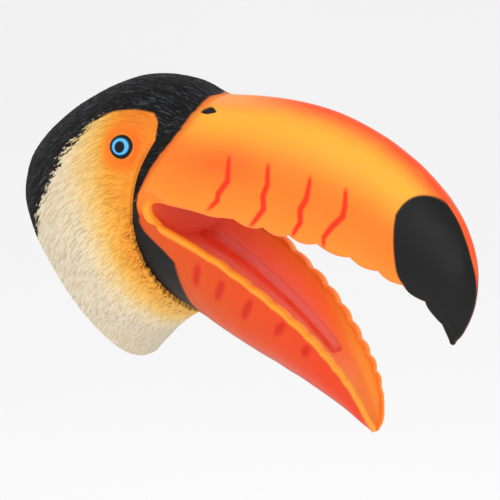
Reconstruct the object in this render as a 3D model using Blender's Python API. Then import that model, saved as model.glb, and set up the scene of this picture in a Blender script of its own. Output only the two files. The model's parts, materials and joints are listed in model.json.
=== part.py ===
"""Soft vinyl toucan-head hand puppet with a moving mouth.

Frame: origin at the centre of the neck opening, +X towards the beak, +Y to the bird's left, +Z up.
Profiles are side views, as (x, z) in millimetres from the jaw hinge, the axis through both corners of
the mouth. Each skin is a loft: a grid of points on its outer face, one on its inner face, closed round
the edges.
"""
import bmesh
import bpy
import numpy as np
from mathutils import Matrix, Vector

MM = 0.001
HINGE = np.array([63.05, 0.0, 49.8])  # the jaw hinge, from the centre of the neck opening
SKIN = 2.6  # wall of the moulded skin
LINING = 2.0  # wall of the mouth lining
GAP = 0.3  # clearance between neighbouring pieces
LIP, LIP_DEPTH = 2.6, 3.0  # extra width of the lower beak's rolled lip, and how far down it fades

# Upper beak: the ridge from forehead to hooked tip, and the cutting edge as (x, z, half width).
CULMEN = ((26.7, 60.7), (48.5, 61.9), (77.2, 62.4), (104.6, 59.0), (131.9, 50.6), (152.4, 40.6),
          (166.0, 31.0), (179.0, 18.5), (189.3, 4.0), (196.0, -16.0), (195.0, -38.0), (187.5, -55.0),
          (180.5, -62.0))
UPPER_EDGE = ((-6.2, 4.6, 38.8), (-3.2, 7.2, 38.7), (2.0, 7.4, 38.5), (8.0, 4.2, 38.3), (15.0, 2.0, 38.1),
              (30.0, 0.7, 37.5), (46.0, -1.7, 36.5), (64.0, -3.2, 35.0), (83.3, -6.6, 32.6),
              (111.3, -11.6, 28.6), (135.1, -19.2, 23.4), (157.8, -30.0, 16.6), (172.5, -42.5, 9.6),
              (179.0, -60.5, 2.4))
# Lower beak: the lip as (x, z, half width), and the keel under it.
LOWER_LIP = ((6.5, -11.6, 38.2), (38.4, -24.8, 35.6), (51.9, -32.1, 33.6), (75.5, -46.9, 29.2),
             (96.3, -63.5, 23.4), (114.9, -83.5, 17.0), (124.5, -100.5, 10.0), (128.5, -117.0, 2.6))
KEEL = ((38.3, -77.0), (55.0, -84.5), (75.0, -92.5), (95.0, -101.5), (112.0, -110.5), (127.0, -120.5))

# Head: the mid-plane outline above, from nape to forehead, and below, from neck rim to throat.
NAPE_CROWN = ((-101.9, -0.4), (-97.0, 15.0), (-80.0, 34.0), (-58.0, 50.0), (-35.0, 61.5), (-14.0, 65.5),
              (5.0, 65.0), (19.0, 62.6))
THROAT = ((-26.2, -96.7), (-17.4, -87.2), (-8.0, -78.0), (3.0, -70.0), (13.0, -64.5))
HEAD_HALF_WIDTH = ((0.0, 36.0), (0.25, 40.0), (0.5, 42.5), (0.75, 42.8), (1.0, 41.0))
HEAD_SQUARE = 0.91  # power that squares the head's round sections
FACE_BOW = 25.0  # how far the face edge sweeps back at the cheeks
CHEEK_TURN = np.radians(89)  # where round the face edge, from the forehead, the mouth corners lie
BAND_STEP = 1.2  # how far the black band lies below the feather edge

# Mouth corner: the soft web's outline and its free edge, from the upper beak round to the lower one.
CORNER_OUTER = ((8.0, 4.2, 38.3), (2.0, 7.4, 38.5), (-3.2, 7.2, 38.7), (-6.2, 4.6, 38.8),
                (-7.0, 0.0, 39.6), (-4.8, -4.0, 39.5), (0.2, -7.6, 38.9), (6.8, -10.9, 38.2))
CORNER_INNER = ((8.0, 1.8), (5.0, 2.8), (2.0, 2.4), (0.2, 0.2), (0.0, -2.0), (1.2, -4.4), (3.6, -6.4),
                (8.0, -8.4))
CORNER_GAP = 1.3  # clearance of the gape inside the coarser edges of the beak
CORNER_HALF_WIDTH = 38.2  # of the mouth at its corners
MOUTH_BACK_AT = (-8.0, -1.0)  # the point that the back of the mouth bends round

PALATE_LIFT, PALATE_ARCH = 1.6, 7.0
PALATE_FROM, PALATE_TO = 0.085, 0.70  # along the upper beak
FLOOR_DROP, FLOOR_DEPTH = 1.6, 9.0
FLOOR_TO = 0.78  # along the lower beak
TONGUE_HALF_WIDTH, TONGUE_TOP = 7.5, 5.0
TONGUE_FROM, TONGUE_TO = 0.09, 0.70  # along the lower beak
EYE_RADIUS, EYE_SEAT, EYE_DOME = 6.3, 1.2, 1.9
EYE_SIDES, SEAT_CUT = 28, 4.0  # facets round an eye, and how far its seat's cutter stands out
EYE_ALONG, EYE_ROUND = 0.812, np.radians(62)  # where on the head the eye sits
NOSTRIL_ALONG, NOSTRIL_UP = 0.03, 0.871  # where on the upper beak the nostril sits
NOSTRIL_LENGTH, NOSTRIL_WIDTH, NOSTRIL_DEPTH = 10.5, 3.2, 1.5
BEAK_SPREAD, BEAK_CREST = 1.2, 0.87  # powers that shape the beak's sections across and up


def clear_scene():
    for thing in list(bpy.data.objects):
        bpy.data.objects.remove(thing)


def paint(name, colour, roughness):
    material = bpy.data.materials.new(name)
    material.use_nodes = True
    shader = material.node_tree.nodes["Principled BSDF"]
    shader.inputs["Base Color"].default_value = (*colour, 1.0)
    shader.inputs["Roughness"].default_value = roughness
    return material


def smooth_path(points, count, start=0.0, end=1.0):
    """Evenly spaced samples of a Catmull-Rom curve through the points."""
    p = np.asarray(points, float)
    p = np.vstack([2 * p[0] - p[1], p, 2 * p[-1] - p[-2]])
    dense = []
    for i in range(1, len(p) - 2):
        a, b, c, d = p[i - 1:i + 3]
        for t in np.linspace(0, 1, 24, endpoint=False):
            dense.append(0.5 * (2 * b + (c - a) * t + (2 * a - 5 * b + 4 * c - d) * t ** 2
                                + (3 * b - a - 3 * c + d) * t ** 3))
    dense = np.array(dense + [p[-2]])
    along = np.append(0, np.cumsum(np.linalg.norm(np.diff(dense, axis=0), axis=1)))
    at = along[-1] * np.linspace(start, end, count)
    return np.stack([np.interp(at, along, dense[:, k]) for k in range(dense.shape[1])], axis=1)


def smoothstep(x):
    x = np.clip(x, 0, 1)
    return x * x * (3 - 2 * x)


def make_object(name, mesh_maker, material, parent=None):
    """The object of a bmesh built in hinge millimetres, with its origin at its parent or the hinge."""
    mesh = bpy.data.meshes.new(name)
    mesh_maker.transform(Matrix.Scale(MM, 4))
    mesh_maker.to_mesh(mesh)
    mesh_maker.free()
    mesh.shade_smooth()
    mesh.set_sharp_from_angle(angle=np.radians(50))
    if material:
        mesh.materials.append(material)
    thing = bpy.data.objects.new(name, mesh)
    bpy.context.collection.objects.link(thing)
    if parent:
        thing.parent = parent
    else:
        thing.location = HINGE * MM
    return thing


def closed_shell(outer, inner, rings=False):
    """One closed body between two grids of points. With rings, each row closes on itself."""
    body = bmesh.new()
    rows, columns = outer.shape[:2]
    layers = [[[body.verts.new(p) for p in row] for row in grid] for grid in (outer, inner)]
    last = columns if rings else columns - 1
    for verts in layers:
        for i in range(rows - 1):
            for j in range(last):
                k = (j + 1) % columns
                body.faces.new((verts[i][j], verts[i][k], verts[i + 1][k], verts[i + 1][j]))
    top, under = layers
    for i in (0, rows - 1):
        for j in range(last):
            k = (j + 1) % columns
            body.faces.new((top[i][j], top[i][k], under[i][k], under[i][j]))
    if not rings:
        for j in (0, columns - 1):
            for i in range(rows - 1):
                body.faces.new((top[i][j], top[i + 1][j], under[i + 1][j], under[i][j]))
    bmesh.ops.recalc_face_normals(body, faces=body.faces)
    if body.calc_volume(signed=True) < 0:
        bmesh.ops.reverse_faces(body, faces=body.faces)
    return body


def beak_round(turn):
    """Shares of the half width and of the height round a beak section, 0 at the ridge."""
    across = np.sign(np.sin(turn)) * np.abs(np.sin(turn)) ** BEAK_SPREAD
    return across, np.cos(turn).clip(0) ** BEAK_CREST


def beak_grid(edge, ridge, columns, wall=0.0, lip=0.0, pocket=1.0):
    """Sections from one mouth edge over the ridge to the other, set in by the wall."""
    across, up = beak_round(np.linspace(-np.pi / 2, np.pi / 2, columns))
    reach = ridge - edge[:, :2]
    height = np.linalg.norm(reach, axis=1)
    high = np.outer(np.maximum(1 - wall / height, 0.1) * pocket, up)
    half = np.maximum(edge[:, 2] - wall, 0.35 * edge[:, 2])[:, None]
    half = half - lip * np.exp(-(high * height[:, None] / LIP_DEPTH) ** 2)
    return across_mouth(edge, reach, high, half * across)


def across_mouth(edge, reach, share, sideways):
    """Points this share of the way from a mouth edge to its ridge or keel, and this far to the side."""
    x = edge[:, :1] + reach[:, :1] * share
    z = edge[:, 1:2] + reach[:, 1:] * share
    return np.stack([x, sideways, z], axis=2)


def lining_grid(edge, ridge, columns, side, middle, wall):
    """Sections of a lining across the mouth, side mm in from the lips at its edges, middle mm more midway."""
    reach = ridge - edge[:, :2]
    height = np.linalg.norm(reach, axis=1)
    wing = np.linspace(-1, 1, columns)
    depth = side + np.outer(middle, 1 - np.abs(wing) ** 2.4)
    share = depth / height[:, None]
    wall_share = np.clip(1 - (share / (1 - SKIN / height[:, None])) ** 2.3, 0.05, 1) ** 0.6
    half = (edge[:, 2:3] - wall) * wall_share - GAP
    return across_mouth(edge, reach, share, half * wing)


def head_ring(along, turn, inset=0.0):
    """Points of the head at a share of its length, from the nape's side (turn 0) round its left side."""
    above = smooth_path(NAPE_CROWN, 1, along, along)[0]
    below = smooth_path(THROAT, 1, along, along)[0]
    middle, up = (above + below) / 2, (above - below) / 2
    height = np.linalg.norm(up)
    forward = np.array([up[1], -up[0]]) / height
    half = np.interp(along, *np.transpose(HEAD_HALF_WIDTH)) - inset
    a = np.sign(np.cos(turn)) * np.abs(np.cos(turn)) ** HEAD_SQUARE
    b = np.sign(np.sin(turn)) * np.abs(np.sin(turn)) ** HEAD_SQUARE
    side = (middle + np.outer(a * (1 - inset / height), up)
            - np.outer(FACE_BOW * along ** 2 * (1 - a ** 2), forward))
    return np.stack([side[:, 0], half * b, side[:, 1]], axis=1)


def head_point(along, turn):
    """A point of the head's outer face and the direction out of it."""
    here = head_ring(along, np.array([turn]))[0]
    next_round = head_ring(along, np.array([turn + 0.02]))[0] - here
    next_along = head_ring(along + 0.01, np.array([turn]))[0] - here
    out = np.cross(next_round, next_along)
    out *= np.sign(out[1] * here[1])
    return here, out / np.linalg.norm(out)


def facing(out):
    """The turn that brings +Z to this direction, with X along the head."""
    z = Vector(out).normalized()
    x = (Vector((1, 0, 0)) - z * z.x).normalized()
    return Matrix((x, z.cross(x), z)).transposed().to_4x4()


def cut(thing, cutter_maker, name):
    cutter = make_object(name, cutter_maker, None)
    cutter.hide_render = True
    cutter.display_type = "WIRE"
    boolean = thing.modifiers.new(name, "BOOLEAN")
    boolean.operation = "DIFFERENCE"
    boolean.solver = "EXACT"
    boolean.object = cutter


def circle(body, radius, height, place):
    """A ring of vertices this high above the place."""
    turns = np.linspace(0, 2 * np.pi, EYE_SIDES, endpoint=False)
    return [body.verts.new(place @ Vector((radius * np.cos(t), radius * np.sin(t), height))) for t in turns]


def lens(radius, below, above, place, rings=5):
    """A plano-convex disc: its flat back sits below the place, its dome above it."""
    body = bmesh.new()
    loop = circle(body, radius, -below, place)
    body.faces.new(loop)
    for k in range(rings):
        tilt = k / rings * np.pi / 2
        ring = circle(body, radius * np.cos(tilt), above * np.sin(tilt), place)
        for j in range(EYE_SIDES):
            k_next = (j + 1) % EYE_SIDES
            body.faces.new((loop[j], loop[k_next], ring[k_next], ring[j]))
        loop = ring
    top = body.verts.new(place @ Vector((0, 0, above)))
    for j in range(EYE_SIDES):
        body.faces.new((loop[j], loop[(j + 1) % EYE_SIDES], top))
    bmesh.ops.recalc_face_normals(body, faces=body.faces)
    return body


def disc(radius, below, above, place):
    """A cylinder that runs this far below and above the place."""
    body = bmesh.new()
    middle = place @ Matrix.Translation((0, 0, (above - below) / 2))
    bmesh.ops.create_cone(body, cap_ends=True, segments=EYE_SIDES, radius1=radius, radius2=radius,
                          depth=below + above, matrix=middle)
    return body


def make_head():
    feathers = paint("feathered_vinyl", (0.80, 0.52, 0.25), 0.6)
    eye_paint = paint("glossy_eye", (0.08, 0.45, 0.85), 0.15)
    turns = np.linspace(0, 2 * np.pi, 44, endpoint=False)
    stations = np.linspace(0, 1, 17)
    outer = np.array([head_ring(s, turns) for s in stations])
    inner = np.array([head_ring(s, turns, SKIN) for s in stations])
    skin = make_object("head_skin", closed_shell(outer, inner, rings=True), feathers)
    for side, name in ((-1, "right"), (1, "left")):
        here, out = head_point(EYE_ALONG, side * EYE_ROUND)
        place = Matrix.Translation(here) @ facing(out)
        cut(skin, disc(EYE_RADIUS + GAP, EYE_SEAT + GAP, SEAT_CUT, place), f"eye_seat_{name}")
        make_object(f"eye_{name}", lens(EYE_RADIUS, EYE_SEAT, EYE_DOME, place), eye_paint)


def band(name, material, turns, edge, ridge, rows=5):
    """A strip of black skin from the head's face edge to a beak's base."""
    columns = len(turns)
    grids = []
    for wall in (0.0, SKIN):
        back = head_ring(1.0, turns, wall + BAND_STEP)
        front = beak_grid(edge[:1], ridge[:1], columns, wall)[0]
        length = np.linalg.norm(front - back, axis=1)[:, None]
        first, last = GAP / length, 1 - GAP / length
        shares = np.linspace(0, 1, rows)
        grids.append(np.array([back + (front - back) * (first + (last - first) * t) for t in shares]))
    make_object(name, closed_shell(*grids), material)


def make_upper(edge, ridge):
    orange = paint("beak_vinyl", (1.0, 0.30, 0.06), 0.35)
    red = paint("mouth_red", (0.60, 0.05, 0.03), 0.4)
    rows = len(edge)
    shares = np.linspace(0, 1, rows)
    pocket = 1 - 0.97 * smoothstep((shares - 0.68) / 0.14)
    outer = beak_grid(edge, ridge, 21)
    inner = beak_grid(edge, ridge, 21, SKIN, pocket=pocket)
    shell = make_object("upper_beak", closed_shell(outer, inner), orange)
    for side, name in ((-1, "right"), (1, "left")):
        here, out = upper_point(NOSTRIL_ALONG, NOSTRIL_UP, side)
        size = Matrix.Diagonal((NOSTRIL_LENGTH, NOSTRIL_WIDTH, 2 * NOSTRIL_DEPTH, 1))
        place = Matrix.Translation(here) @ facing(out) @ size
        slot = bmesh.new()
        bmesh.ops.create_cone(slot, cap_ends=True, segments=16, radius1=0.5, radius2=0.5, depth=1,
                              matrix=place)
        cut(shell, slot, f"nostril_{name}")
    count = 16
    roof = smooth_path(UPPER_EDGE, count, PALATE_FROM, PALATE_TO)
    over = smooth_path(CULMEN, count, PALATE_FROM, PALATE_TO)
    arch = PALATE_ARCH * (1 - 0.4 * np.linspace(0, 1, count))
    lower = lining_grid(roof, over, 11, PALATE_LIFT, arch, SKIN)
    upper = lining_grid(roof, over, 11, PALATE_LIFT + LINING, arch, SKIN)
    make_object("palate", closed_shell(lower, upper), red)
    return lower[0], upper[0]


def upper_point(along, up, side):
    """A point of the upper beak's outer face and the direction out of it."""
    turn = side * np.arccos(up ** (1 / BEAK_CREST))
    here = upper_surface(along, turn)
    out = np.cross(upper_surface(along, turn + 0.02) - here, upper_surface(along + 0.01, turn) - here)
    out *= np.sign(out[2])
    return here, out / np.linalg.norm(out)


def upper_surface(along, turn):
    """The point of the upper beak's outer face at this share of its length and turn from the ridge."""
    edge = smooth_path(UPPER_EDGE, 1, along, along)
    reach = smooth_path(CULMEN, 1, along, along) - edge[:, :2]
    across, high = beak_round(np.array([turn]))
    return across_mouth(edge, reach, high[:, None], edge[:, 2:] * across)[0, 0]


def make_lower(edge, ridge, hinge):
    orange = paint("lower_beak_vinyl", (0.95, 0.16, 0.05), 0.35)
    red = paint("mouth_floor_red", (0.55, 0.04, 0.03), 0.4)
    pink = paint("tongue_pink", (0.72, 0.12, 0.09), 0.3)
    shares = np.linspace(0, 1, len(edge))
    pocket = 1 - 0.95 * smoothstep((shares - 0.74) / 0.16)
    lip = LIP * (1 - smoothstep((shares - 0.7) / 0.3))[:, None]
    outer = beak_grid(edge, ridge, 19)
    inner = beak_grid(edge, ridge, 19, SKIN, lip, pocket)
    make_object("lower_beak", closed_shell(outer, inner), orange, hinge)
    count = 15
    lip_line = smooth_path(LOWER_LIP, count, 0.0, FLOOR_TO)
    keel_line = smooth_path(KEEL, count, 0.0, FLOOR_TO)
    shares = np.linspace(0, 1, count)
    depth = FLOOR_DEPTH * (1 - 0.5 * shares ** 3)
    top = lining_grid(lip_line, keel_line, 13, FLOOR_DROP, depth, SKIN + LIP)
    under = lining_grid(lip_line, keel_line, 13, FLOOR_DROP + LINING, depth, SKIN + LIP)
    make_object("mouth_floor", closed_shell(top, under), red, hinge)
    make_object("tongue", tongue(), pink, hinge)
    return top[0], under[0]


def tongue():
    """A tapered ridge lying along the middle of the mouth floor."""
    count, columns = 16, 9
    edge = smooth_path(LOWER_LIP, count, TONGUE_FROM, TONGUE_TO)
    ridge = smooth_path(KEEL, count, TONGUE_FROM, TONGUE_TO)
    reach = ridge - edge[:, :2]
    height = np.linalg.norm(reach, axis=1)[:, None]
    shares = np.linspace(0, 1, count)
    floor = FLOOR_DROP + FLOOR_DEPTH * (1 - 0.5 * (shares * TONGUE_TO / FLOOR_TO) ** 3) - GAP - 0.3
    taper = np.sqrt(np.clip(1 - (shares * 1.02 - 0.06) ** 6, 0, 1)) * (1 - 0.45 * shares)
    half = TONGUE_HALF_WIDTH * np.maximum(taper, 0.15)
    tall = TONGUE_TOP * np.maximum(taper, 0.25)
    wing = np.sin(np.linspace(-np.pi / 2, np.pi / 2, columns))
    crown = np.outer(tall, np.sqrt(1 - wing ** 2))
    sides = (floor[:, None] - 0.2 * np.abs(wing), floor[:, None] - 0.6 - crown)
    grids = []
    for depth in sides:
        share = depth / height
        grids.append(across_mouth(edge, reach, share, np.outer(half, wing)))
    return closed_shell(*grids)


def corner_web(side):
    """The soft gape: a flat C of skin round the corner of the mouth."""
    count, rows = 20, 4
    outline = smooth_path(CORNER_OUTER, count)
    free = smooth_path(CORNER_INNER, count)
    away = free - outline[:, :2]
    away /= np.linalg.norm(away, axis=1)[:, None]
    outline[:, :2] += away * CORNER_GAP
    across = np.linspace(0, 1, rows)[:, None, None]
    flat = outline[:, :2] + (free - outline[:, :2]) * across
    grids = []
    for wall in (0.0, SKIN):
        wide = side * (outline[:, 2] - wall - 0.2 * across[..., 0])
        grids.append(np.stack([flat[..., 0], wide, flat[..., 1]], axis=2))
    return closed_shell(*grids)


def mouth_back(roof, floor):
    """The folded lining that joins the palate to the floor behind the corners of the mouth."""
    columns, rows, fold = 13, 9, 4.0
    limit = CORNER_HALF_WIDTH - SKIN - 2 * GAP
    t = np.linspace(0.02, 0.98, rows)[:, None, None]
    grids = []
    for k, back in ((0, 0.0), (1, fold)):
        top, foot = resample(roof[k], columns), resample(floor[k], columns)
        top[:, 1] = np.clip(top[:, 1], -limit, limit)
        foot[:, 1] = np.clip(foot[:, 1], -limit, limit)
        middle = (top + foot) / 2
        middle[:, 0] = MOUTH_BACK_AT[0] - back
        middle[:, 2] = MOUTH_BACK_AT[1]
        grids.append(top * (1 - t) ** 2 + middle * 2 * t * (1 - t) + foot * t ** 2)
    return closed_shell(*grids)


def resample(line, count):
    at = np.linspace(0, len(line) - 1, count)
    return np.stack([np.interp(at, np.arange(len(line)), line[:, k]) for k in range(3)], axis=1)


def main():
    clear_scene()
    hinge = bpy.data.objects.new("jaw_hinge", None)
    bpy.context.collection.objects.link(hinge)
    hinge.location = HINGE * MM
    make_head()
    edge, ridge = smooth_path(UPPER_EDGE, 31), smooth_path(CULMEN, 31)
    lip, keel = smooth_path(LOWER_LIP, 21), smooth_path(KEEL, 21)
    black = paint("black_vinyl", (0.02, 0.02, 0.02), 0.5)
    gape = paint("gape_vinyl", (1.0, 0.38, 0.1), 0.35)
    lining = paint("throat_red", (0.45, 0.03, 0.02), 0.45)
    roof = make_upper(edge, ridge)
    floor = make_lower(lip, keel, hinge)
    band("beak_collar", black, np.linspace(-CHEEK_TURN, CHEEK_TURN, 27), edge, ridge)
    under = np.linspace(-CHEEK_TURN - np.radians(3), CHEEK_TURN + np.radians(3) - 2 * np.pi, 25)
    band("throat_web", black, under, lip, keel)
    for side, name in ((-1, "right"), (1, "left")):
        make_object(f"corner_web_{name}", corner_web(side), gape)
    make_object("mouth_back", mouth_back(roof, floor), lining)


main()
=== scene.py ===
"""Looks of the toucan-head hand puppet: moulded skins, painted zones and feather relief.

Profiles are side views, as (x, z) in millimetres from the jaw hinge, as in the CAD model.
"""
import json
import math

import bpy
import numpy as np
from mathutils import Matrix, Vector

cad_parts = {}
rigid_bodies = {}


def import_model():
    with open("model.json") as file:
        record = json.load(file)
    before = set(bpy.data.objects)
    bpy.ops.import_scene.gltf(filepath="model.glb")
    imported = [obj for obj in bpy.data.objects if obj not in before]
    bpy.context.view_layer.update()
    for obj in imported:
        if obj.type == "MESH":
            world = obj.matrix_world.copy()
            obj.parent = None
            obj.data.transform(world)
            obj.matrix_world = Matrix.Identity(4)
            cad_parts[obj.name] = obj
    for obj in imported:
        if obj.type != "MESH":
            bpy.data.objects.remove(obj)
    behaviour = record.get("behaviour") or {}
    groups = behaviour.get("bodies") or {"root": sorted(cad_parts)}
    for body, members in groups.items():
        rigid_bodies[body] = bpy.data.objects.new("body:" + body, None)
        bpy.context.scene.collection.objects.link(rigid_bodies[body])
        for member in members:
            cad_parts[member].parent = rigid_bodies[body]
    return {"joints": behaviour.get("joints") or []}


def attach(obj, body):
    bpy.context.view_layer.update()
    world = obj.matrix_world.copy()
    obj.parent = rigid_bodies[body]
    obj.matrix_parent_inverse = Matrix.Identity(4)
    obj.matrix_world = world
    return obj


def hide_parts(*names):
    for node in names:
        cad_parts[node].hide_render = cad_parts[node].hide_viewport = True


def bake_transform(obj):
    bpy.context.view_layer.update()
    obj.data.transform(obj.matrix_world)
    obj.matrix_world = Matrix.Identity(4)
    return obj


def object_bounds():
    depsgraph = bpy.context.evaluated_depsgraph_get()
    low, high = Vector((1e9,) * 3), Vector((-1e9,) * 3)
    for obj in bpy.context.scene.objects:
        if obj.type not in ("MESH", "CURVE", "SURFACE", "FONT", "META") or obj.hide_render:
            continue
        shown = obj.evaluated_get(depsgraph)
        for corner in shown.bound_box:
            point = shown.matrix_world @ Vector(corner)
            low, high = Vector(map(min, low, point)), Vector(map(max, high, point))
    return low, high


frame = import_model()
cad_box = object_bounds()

MM = 0.001
JOINT = frame["joints"][0]
HINGE = np.array(JOINT["pos_m"])
HEAD, JAW = JOINT["parent"], JOINT["child"]
SKIN, LINING, LIP = 2.6, 2.0, 2.6
DETAIL = 1.0

# Profiles of the skins. The ridge, the brow and the lower tip are refined from the CAD model's.
CULMEN = ((26.7, 60.0), (48.5, 61.3), (77.2, 61.6), (104.6, 58.1), (131.9, 49.5), (152.4, 39.4),
          (166.0, 29.9), (179.0, 17.7), (189.3, 3.5), (196.0, -16.0), (195.0, -38.0), (187.5, -55.0),
          (180.5, -62.0))
UPPER_EDGE = ((-6.2, 4.6, 38.8), (-3.2, 7.2, 38.7), (2.0, 7.4, 38.5), (8.0, 4.2, 38.3), (15.0, 2.0, 38.1),
              (30.0, 0.7, 37.5), (46.0, -1.7, 36.5), (64.0, -3.2, 35.0), (83.3, -6.6, 32.6),
              (111.3, -11.6, 28.6), (135.1, -19.2, 23.4), (157.8, -30.0, 16.6), (172.5, -42.5, 9.6),
              (179.0, -60.5, 2.4))
LOWER_LIP = ((6.5, -11.6, 38.2), (38.4, -24.8, 35.6), (51.9, -32.1, 33.6), (75.5, -46.9, 29.2),
             (96.3, -63.5, 23.4), (114.9, -83.5, 17.4), (124.0, -98.0, 13.0), (127.8, -108.0, 9.4),
             (129.6, -115.0, 5.6), (129.4, -118.8, 1.8))
KEEL = ((38.3, -77.0), (55.0, -84.5), (75.0, -92.5), (95.0, -101.5), (112.0, -110.5), (127.0, -120.5))
NAPE_CROWN = ((-101.9, -0.4), (-97.0, 15.0), (-80.0, 34.0), (-58.0, 50.0), (-35.0, 61.5), (-14.0, 65.5),
              (4.0, 64.3), (18.6, 60.0))
THROAT = ((-26.2, -96.7), (-17.4, -87.2), (-8.0, -78.0), (3.0, -70.0), (13.0, -64.5))
HEAD_HALF_WIDTH = ((0.0, 36.0), (0.25, 40.0), (0.5, 42.5), (0.75, 42.8), (1.0, 41.0))
FACE_BOW = 25.0  # how far the face edge sweeps back at the cheeks
CHEEK_TURN = math.radians(89)  # where round the face edge the mouth's corners lie
HEAD_SQUARE = 0.91  # power that squares the head's round sections
BEAK_WIDE, BEAK_HIGH = 1.2, 0.87  # powers that shape the beak's sections
CORNER_TOP = UPPER_EDGE[4::-1]
CORNER_REAR = ((-6.2, 4.6, 38.8), (-7.0, 0.6, 39.4), (-6.2, -4.0, 39.4), (-3.0, -8.4, 38.9),
               (6.5, -11.6, 38.2))
CORNER_EDGE = ((15.0, 1.5), (9.0, 2.3), (4.6, 1.9), (1.4, 0.1), (0.1, -2.9), (1.3, -6.4), (4.2, -9.2),
               (7.0, -11.3))
PALATE_LIFT, PALATE_ARCH = 1.6, 7.0
PALATE_FROM, PALATE_TO = 0.085, 0.70  # along the upper beak
FLOOR_DEPTH, FLOOR_TO = 9.0, 0.995  # below the lips, and how far along the lower beak
TONGUE_HALF_WIDTH, TONGUE_TALL = 7.4, 3.3
TONGUE_TO = 0.665  # along the lower beak
SHARP_EDGE = math.radians(58)
EYE_RADIUS, EYE_SEAT, EYE_DOME = 6.3, 1.2, 1.9
EYE_ALONG, EYE_ROUND = 0.812, math.radians(62)
NOSTRIL_ALONG, NOSTRIL_UP = 0.0195, 0.871
NOSTRIL_LENGTH, NOSTRIL_WIDTH, NOSTRIL_DEPTH = 11.0, 5.8, 1.6
UPPER_NOTCHES = (56.0, 74.0, 90.0, 107.0, 127.0, 143.0, 157.0, 168.5, 176.0)
LOWER_NOTCHES = (38.0, 51.5, 64.5, 76.5, 87.5, 97.0, 105.5, 112.5, 118.5, 123.5)
UPPER_NOTCH, UPPER_TOOTH = 1.9, 3.1  # how far a notch cuts in, and a tooth's height from its bottom
LOWER_NOTCH, LOWER_TOOTH = 1.2, 1.8

SHEEN = 0.022  # what a white room adds to a paint's own colour

# Painted zones.
CROWN_EDGE = ((0.0, 75), (0.13, 67.7), (0.21, 62), (0.33, 57.6), (0.39, 53.3), (0.46, 48.6), (0.52, 47.9),
              (0.58, 42.5), (0.68, 40.3), (0.8, 39.6), (0.9, 39.6), (0.95, 44), (1.0, 54))
TIP_PATCH = ((155.5, 11.6), (157.9, 16.9), (162.1, 21.5), (168.4, 22.5), (175.0, 20.4), (179.6, 16.7),
             (186.4, 8.3), (193.0, -5.5), (199.0, -18.4), (202.0, -40.0), (190.0, -64.0), (176.0, -70.0),
             (160.0, -32.0), (156.2, -23.8), (155.6, -14.2), (155.1, 3.2))
UPPER_STRIPES = (((51.4, 33.9), (52.5, 20.0), (46.9, 12.0), (46.5, 8.4), (42.2, 4.0), (39.8, 1.6)),
                 ((76.7, 32.5), (78.0, 20.8), (75.7, 14.1), (76.4, 7.1), (72.7, 2.1), (68.2, -3.4),
                  (66.0, -6.0)),
                 ((103.5, 28.3), (103.5, 23.4), (102.6, 15.5), (99.1, 8.8), (99.2, 1.9), (94.3, -5.5),
                  (92.4, -8.3)),
                 ((125.3, 23.7), (126.2, 13.7), (125.4, 7.7), (119.2, 1.7), (113.3, -5.5), (112.8, -9.5),
                  (112.4, -12.9)))
LOWER_STRIPES = (((32.9, -30.1), (30.0, -43.3)), ((48.8, -37.9), (43.2, -50.0)),
                 ((65.7, -47.3), (59.0, -59.4)), ((85.0, -58.5), (79.0, -66.3)),
                 ((98.1, -71.0), (95.0, -77.0)))
THROAT_EDGE = ((-90.0, 60.0), (-76.3, 41.8), (-68.0, 28.9), (-56.5, 20.9), (-45.0, 19.6), (-30.9, 17.4),
               (-24.7, 10.3), (-22.6, 7.1), (-18.6, 1.9), (-15.3, -2.0), (-11.0, -4.6), (-5.0, -6.0),
               (0.0, -6.7), (5.0, -6.3), (12.0, -5.0))  # as (z, x)
CROWN_PAINT = ((0, 2.2), (4, 3.2), (9, 5.6), (15, 5.6), (25, 4.5), (38, 3.6), (48, 2.0), (58, 1.6), (70, 3.0),
               (80, 3.0), (90, 1.0))  # how far behind its base the upper beak's paint reaches, by turn


# ---- curves and grids -------------------------------------------------------------------------

def smooth_path(points, count, start=0.0, end=1.0):
    """Evenly spaced samples of a Catmull-Rom curve through the points."""
    p = np.asarray(points, float)
    p = np.vstack([2 * p[0] - p[1], p, 2 * p[-1] - p[-2]])
    dense = []
    for i in range(1, len(p) - 2):
        a, b, c, d = p[i - 1:i + 3]
        for t in np.linspace(0, 1, 24, endpoint=False):
            dense.append(0.5 * (2 * b + (c - a) * t + (2 * a - 5 * b + 4 * c - d) * t ** 2
                                + (3 * b - a - 3 * c + d) * t ** 3))
    dense = np.array(dense + [p[-2]])
    along = np.append(0, np.cumsum(np.linalg.norm(np.diff(dense, axis=0), axis=1)))
    at = along[-1] * np.linspace(start, end, count)
    path = np.stack([np.interp(at, along, dense[:, k]) for k in range(dense.shape[1])], axis=1)
    return soften(path, 3) if count > 60 else path


def soften(path, times):
    """The path with its small kinks averaged out and its ends kept."""
    for _ in range(times):
        path = np.concatenate([path[:1], (path[:-2] + 2 * path[1:-1] + path[2:]) / 4, path[-1:]])
    return path


def smoothstep(x):
    x = np.clip(x, 0, 1)
    return x * x * (3 - 2 * x)


def cloud(shape, cells, seed, wrap=False):
    """Smooth noise from -1 to 1 on a grid, read from a random lattice with that many cells each way."""
    lattice = np.random.default_rng(seed).uniform(-1, 1, (cells[0] + 2, cells[1] + 2))
    if wrap:
        lattice[:, cells[1]:] = lattice[:, :2]
    axes = []
    for size, count in zip(shape, cells):
        at = np.arange(size) / size * count
        low = at.astype(int)
        axes.append((low, smoothstep(at - low)))
    (i, u), (j, v) = axes
    u, v = u[:, None], v[None, :]
    a, b = lattice[np.ix_(i, j)], lattice[np.ix_(i + 1, j)]
    c, d = lattice[np.ix_(i, j + 1)], lattice[np.ix_(i + 1, j + 1)]
    return a * (1 - u) * (1 - v) + b * u * (1 - v) + c * (1 - u) * v + d * u * v


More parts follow.
